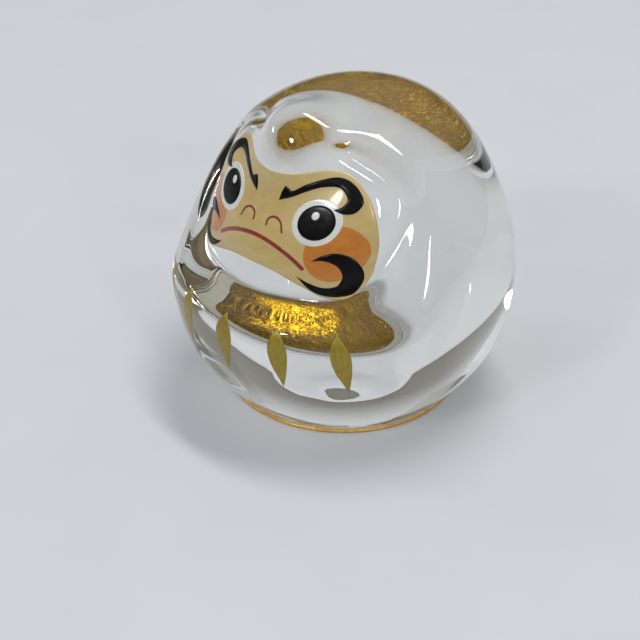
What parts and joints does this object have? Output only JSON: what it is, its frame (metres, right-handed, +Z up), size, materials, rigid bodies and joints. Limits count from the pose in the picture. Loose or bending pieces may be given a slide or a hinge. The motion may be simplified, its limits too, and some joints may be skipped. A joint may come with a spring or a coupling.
{
  "type": "daruma doll",
  "caption": "Solid clear cast glass daruma doll with a painted enamel face, gold belly petals and gold leaf sealed under its flat base.",
  "frame": {"origin": "middle of the face that the doll stands on", "axes": "+Z up, the doll faces -Y and its own left side is +X"},
  "size_m": [0.0732, 0.0736, 0.067],
  "materials": {
    "clear_glass": "fire-polished, clear",
    "gold_leaf": "broken leaf and glitter, bright",
    "base_seal": "brushed-on lacquer with a gold edge",
    "ochre_enamel": "glossy hand-painted enamel",
    "white_enamel": "glossy hand-painted enamel",
    "black_enamel": "thick glossy hand-painted enamel",
    "orange_enamel": "glossy hand-painted enamel",
    "red_enamel": "glossy hand-painted enamel",
    "gold_enamel": "metallic gold paint, satin"
  },
  "bodies": {
    "root": {"glass_body": "clear_glass", "gold_leaf": "gold_leaf", "base_seal": "base_seal", "face_ground": "ochre_enamel", "eye_white_left": "white_enamel", "eye_white_right": "white_enamel", "pupil_left": "black_enamel", "pupil_right": "black_enamel", "eye_glint_left": "white_enamel", "eye_glint_right": "white_enamel", "cheek_left": "orange_enamel", "cheek_right": "orange_enamel", "eyebrow_left": "black_enamel", "eyebrow_right": "black_enamel", "whisker_left": "black_enamel", "whisker_right": "black_enamel", "nostril_left": "red_enamel", "nostril_right": "red_enamel", "mouth": "red_enamel", "petal_1": "gold_enamel", "petal_2": "gold_enamel", "petal_3": "gold_enamel", "petal_4": "gold_enamel", "petal_5": "gold_enamel"}
  },
  "joints": []
}
